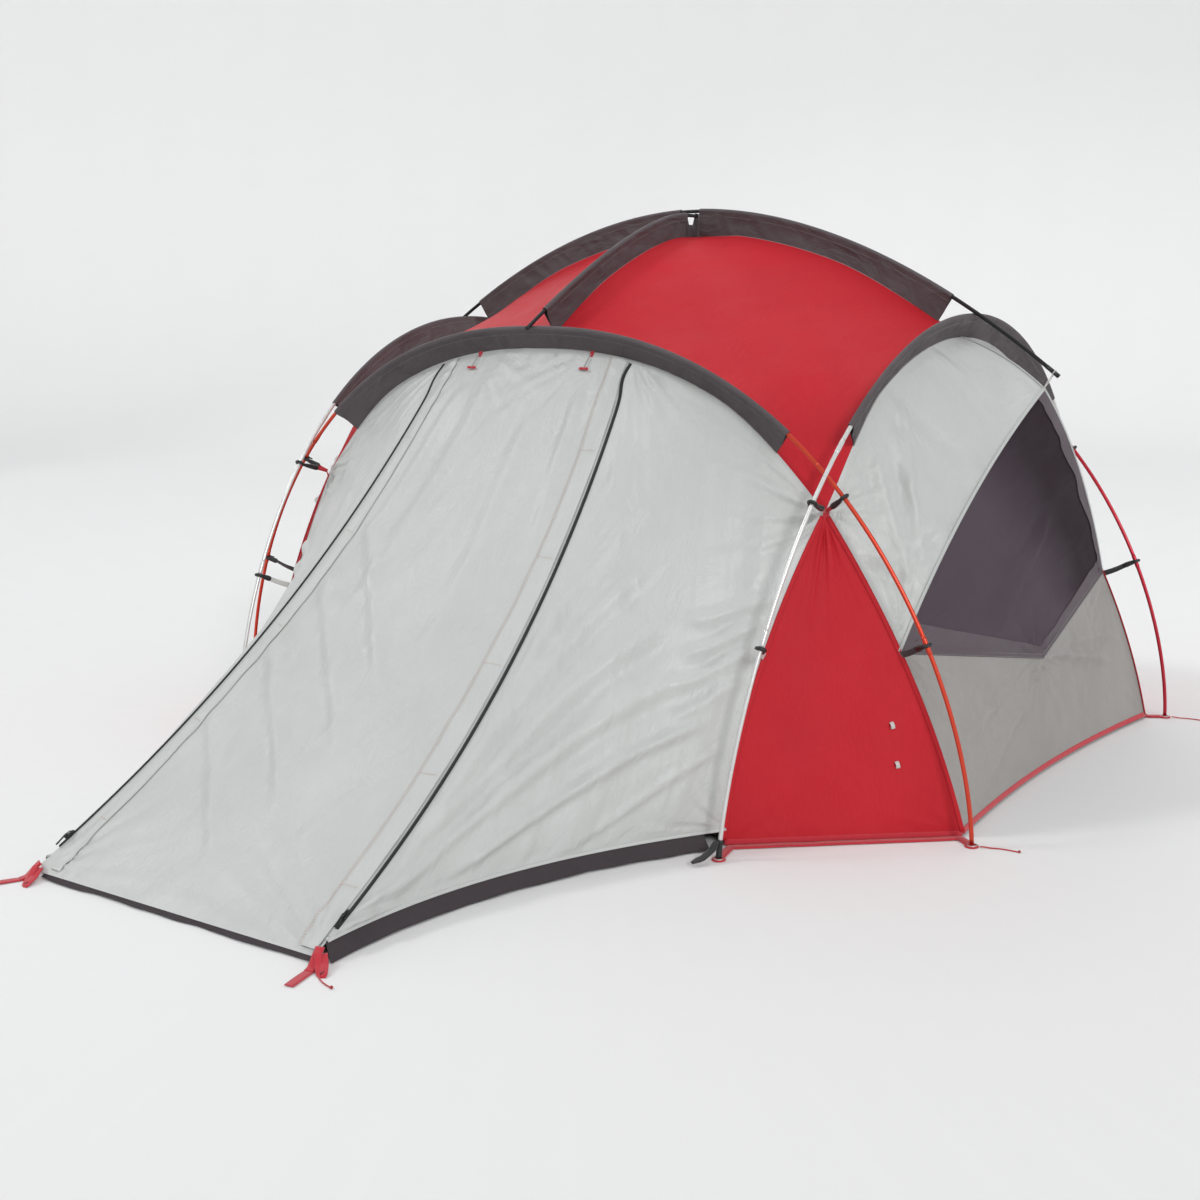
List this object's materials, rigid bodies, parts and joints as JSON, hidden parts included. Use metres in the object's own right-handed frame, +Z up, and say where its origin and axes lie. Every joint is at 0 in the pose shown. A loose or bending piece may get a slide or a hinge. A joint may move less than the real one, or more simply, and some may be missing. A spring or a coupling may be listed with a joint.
{
  "type": "dome tent",
  "caption": "Geodesic dome tent with crossing hoop poles in half-length sleeves, ridge poles, a zipped front vestibule, side windows and a flat floor.",
  "frame": {"origin": "middle of the whole footprint, at ground level, free cord ends left out", "axes": "+Z up; -Y towards the vestibule and door; +X to the right seen from inside looking out of the back, which is the right-hand side of the picture's near corner"},
  "size_m": [2.523, 3.18, 1.4514],
  "materials": {
    "pole_red": "anodised orange-red satin",
    "pole_silver": "bright satin",
    "pole_black": "black satin",
    "sleeve_fabric": "matte dark grey weave",
    "red_fabric": "coated ripstop, slight sheen",
    "clip_plastic": "black moulded",
    "red_webbing": "woven webbing",
    "red_cord": "braided cord",
    "window_fabric": "dark translucent weave",
    "lower_fabric": "coated ripstop, warm grey",
    "valance_fabric": "matte dark coated fabric",
    "zip_tape": "black zip tape and coil",
    "zip_metal": "black enamel",
    "floor_fabric": "coated groundsheet",
    "grey_fabric": "coated ripstop, light grey"
  },
  "bodies": {
    "shell": {"back_panel_lower": "lower_fabric", "back_panel_upper": "grey_fabric", "corner_back_left": "red_fabric", "corner_back_right": "red_fabric", "corner_clip_back_left": "clip_plastic", "corner_clip_back_right": "clip_plastic", "corner_clip_front_left": "clip_plastic", "corner_clip_front_right": "clip_plastic", "corner_front_left": "red_fabric", "corner_front_right": "red_fabric", "corner_strap_back_left": "red_webbing", "corner_strap_back_right": "red_webbing", "corner_strap_front_left": "red_webbing", "corner_strap_front_right": "red_webbing", "door_header": "grey_fabric", "floor": "floor_fabric", "hoop_pole_back": "pole_red", "hoop_pole_front": "pole_red", "hoop_pole_left": "pole_silver", "hoop_pole_right": "pole_silver", "inner_front_wall": "grey_fabric", "left_panel_back": "grey_fabric", "left_panel_front": "grey_fabric", "left_panel_lower": "lower_fabric", "left_window": "window_fabric", "ridge_pole_long": "pole_black", "ridge_pole_side": "pole_black", "ridge_sleeve_back": "sleeve_fabric", "ridge_sleeve_front": "sleeve_fabric", "ridge_sleeve_left": "sleeve_fabric", "ridge_sleeve_right": "sleeve_fabric", "right_panel_back": "grey_fabric", "right_panel_front": "grey_fabric", "right_panel_lower": "lower_fabric", "right_window": "window_fabric", "roof_back_left": "red_fabric", "roof_back_right": "red_fabric", "roof_front_left": "red_fabric", "roof_front_right": "red_fabric", "sleeve_back": "sleeve_fabric", "sleeve_front": "sleeve_fabric", "sleeve_left": "sleeve_fabric", "sleeve_right": "sleeve_fabric", "stake_tab_left": "red_webbing", "stake_tab_right": "red_webbing", "tail_cord_back": "red_cord", "tail_cord_front": "red_cord", "tail_cord_vestibule": "red_cord", "valance_left": "valance_fabric", "valance_right": "valance_fabric", "vestibule_left": "grey_fabric", "vestibule_right": "grey_fabric", "zipper_left": "zip_tape", "zipper_right": "zip_tape"},
    "door": {"door_panel": "grey_fabric", "valance_door": "valance_fabric"},
    "slider_left": {"zip_slider_left": "zip_metal"},
    "slider_right": {"zip_slider_right": "zip_metal"},
    "toggle_left": {"toggle_left": "red_cord"},
    "toggle_right": {"toggle_right": "red_cord"}
  },
  "joints": [
    {"name": "door_swing", "type": "hinge", "parent": "shell", "child": "door", "pos_m": [-0.01461, -0.20256, 1.00248], "axis": [-0.9999, -0.0084, -0.0071], "range_deg": [0, 75]},
    {"name": "zip_left_travel", "type": "hinge", "parent": "shell", "child": "slider_left", "pos_m": [-0.30682, -3.32151, 3.77531], "axis": [1, 0.0061, 0], "range_deg": [0, 20.37]},
    {"name": "zip_right_travel", "type": "hinge", "parent": "shell", "child": "slider_right", "pos_m": [0.66507, -2.4643, 2.65572], "axis": [0.987, 0.1606, 0], "range_deg": [0, 29.9]},
    {"name": "toggle_left_swing", "type": "hinge", "parent": "shell", "child": "toggle_left", "pos_m": [-0.205, -0.17727, 1.06329], "axis": [-1, 0, 0], "range_deg": [0, 80]},
    {"name": "toggle_right_swing", "type": "hinge", "parent": "shell", "child": "toggle_right", "pos_m": [0.165, -0.17713, 1.06767], "axis": [-1, 0, 0], "range_deg": [0, 80]}
  ]
}
